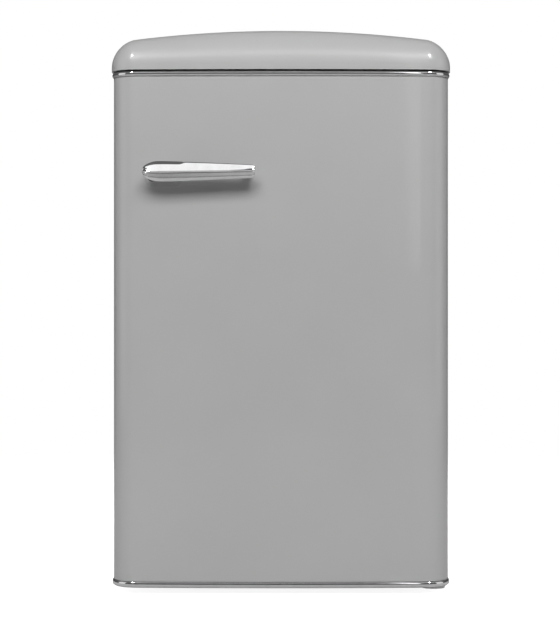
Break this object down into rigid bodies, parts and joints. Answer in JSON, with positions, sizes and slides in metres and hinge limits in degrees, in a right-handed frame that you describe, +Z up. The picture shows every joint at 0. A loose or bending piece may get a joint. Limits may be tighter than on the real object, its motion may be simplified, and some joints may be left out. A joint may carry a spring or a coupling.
{
  "type": "mini fridge",
  "caption": "Retro under-counter fridge with a domed top, a bowed door with chrome bands and handle, an ice box, glass shelves and door racks.",
  "frame": {"origin": "on the floor under the middle of the whole object's box", "axes": "+Z up; the door faces -Y; +X to the right of someone who faces the door"},
  "size_m": [0.55, 0.615, 0.91],
  "materials": {
    "grey_paint": "smooth, semi-gloss grey enamel",
    "cover_enamel": "glossy grey enamel on a moulded cover",
    "chrome": "polished chrome",
    "white_plastic": "smooth white moulded plastic",
    "grey_plastic": "satin grey moulded plastic",
    "black_plastic": "satin black moulded plastic",
    "clear_plastic": "clear, slightly frosted plastic",
    "glass": "clear tempered glass with a green edge",
    "foam": "rigid foam, cut smooth",
    "seal": "soft light-grey vinyl",
    "rubber": "matt black rubber",
    "black_steel": "satin black paint on steel",
    "zinc_steel": "zinc-plated sheet",
    "aluminium": "rolled aluminium",
    "copper": "drawn copper tube",
    "bulb": "frosted glass"
  },
  "bodies": {
    "cabinet": {"cabinet_shell": "grey_paint", "back_panel": "zinc_steel", "insulation_foam": "foam", "inner_liner": "white_plastic", "base_frame": "zinc_steel", "floor_panel": "zinc_steel", "compressor_plate": "zinc_steel", "top_cover": "cover_enamel", "cover_bottom_panel": "grey_plastic", "upper_hinge": "zinc_steel", "lower_hinge": "zinc_steel", "ice_box": "aluminium", "control_housing": "white_plastic", "lamp_cover": "clear_plastic", "lamp_bulb": "bulb", "compressor": "black_steel", "compressor_grommet_1": "rubber", "compressor_grommet_2": "rubber", "compressor_grommet_3": "rubber", "compressor_grommet_4": "rubber", "compressor_terminal_cover": "black_plastic", "drip_tray": "black_plastic", "drain_tube": "white_plastic", "condenser_tube": "black_steel", "condenser_wires": "black_steel", "filter_drier": "copper", "discharge_pipe": "copper", "suction_pipe": "copper", "foot_rear_left": "black_plastic", "foot_rear_right": "black_plastic"},
    "door": {"door_skin": "grey_paint", "door_foam": "foam", "door_liner": "white_plastic", "door_gasket": "seal", "door_bottom_cap": "grey_plastic", "door_top_cap": "grey_plastic", "door_bottom_band": "chrome", "door_top_band": "chrome", "door_bush_lower": "white_plastic", "door_bush_upper": "white_plastic", "handle_bar": "chrome", "handle_foot_left": "chrome", "handle_foot_right": "chrome"},
    "ice_box_flap": {"ice_box_flap": "white_plastic"},
    "thermostat_knob": {"thermostat_knob": "white_plastic"},
    "light_switch": {"light_switch": "white_plastic"},
    "upper_shelf": {"upper_shelf_glass": "glass", "upper_shelf_trim": "white_plastic"},
    "lower_shelf": {"lower_shelf_glass": "glass", "lower_shelf_trim": "white_plastic"},
    "crisper_cover": {"crisper_cover_glass": "glass", "crisper_cover_trim": "white_plastic"},
    "crisper_drawer": {"crisper_drawer": "clear_plastic"},
    "bottle_rack": {"bottle_rack": "clear_plastic"},
    "middle_rack": {"middle_rack": "clear_plastic"},
    "upper_rack": {"upper_rack": "clear_plastic"},
    "foot_front_left": {"foot_front_left": "black_steel"},
    "foot_front_right": {"foot_front_right": "black_steel"}
  },
  "joints": [
    {"name": "door_hinge", "type": "hinge", "parent": "cabinet", "child": "door", "pos_m": [0.2535, -0.235, 0.428], "axis": [0, 0, 1], "range_deg": [0, 120]},
    {"name": "ice_box_flap_hinge", "type": "hinge", "parent": "cabinet", "child": "ice_box_flap", "pos_m": [0, -0.06615, 0.68215], "axis": [1, 0, 0], "range_deg": [0, 90]},
    {"name": "thermostat_turn", "type": "hinge", "parent": "cabinet", "child": "thermostat_knob", "pos_m": [0.2, -0.044, 0.6115], "axis": [-1, 0, 0], "range_deg": [0, 270]},
    {"name": "light_switch_press", "type": "slide", "parent": "cabinet", "child": "light_switch", "axis": [0, 1, 0], "range_m": [0, 0.006], "stiffness_N_per_m": 150, "springref_m": -0.003},
    {"name": "upper_shelf_slide", "type": "slide", "parent": "cabinet", "child": "upper_shelf", "axis": [0, -1, 0], "range_m": [0, 0.06]},
    {"name": "lower_shelf_slide", "type": "slide", "parent": "cabinet", "child": "lower_shelf", "axis": [0, -1, 0], "range_m": [0, 0.024]},
    {"name": "crisper_cover_slide", "type": "slide", "parent": "cabinet", "child": "crisper_cover", "axis": [0, -1, 0], "range_m": [0, 0.06]},
    {"name": "crisper_drawer_slide", "type": "slide", "parent": "cabinet", "child": "crisper_drawer", "axis": [0, -1, 0], "range_m": [0, 0.022]},
    {"name": "bottle_rack_lift", "type": "slide", "parent": "door", "child": "bottle_rack", "axis": [0, 0, 1], "range_m": [0, 0.015]},
    {"name": "middle_rack_lift", "type": "slide", "parent": "door", "child": "middle_rack", "axis": [0, 0, 1], "range_m": [0, 0.015]},
    {"name": "upper_rack_lift", "type": "slide", "parent": "door", "child": "upper_rack", "axis": [0, 0, 1], "range_m": [0, 0.015]},
    {"name": "foot_front_left_screw", "type": "slide", "parent": "cabinet", "child": "foot_front_left", "axis": [0, 0, -1], "range_m": [0, 0.012]},
    {"name": "foot_front_right_screw", "type": "slide", "parent": "cabinet", "child": "foot_front_right", "axis": [0, 0, -1], "range_m": [0, 0.012]}
  ]
}
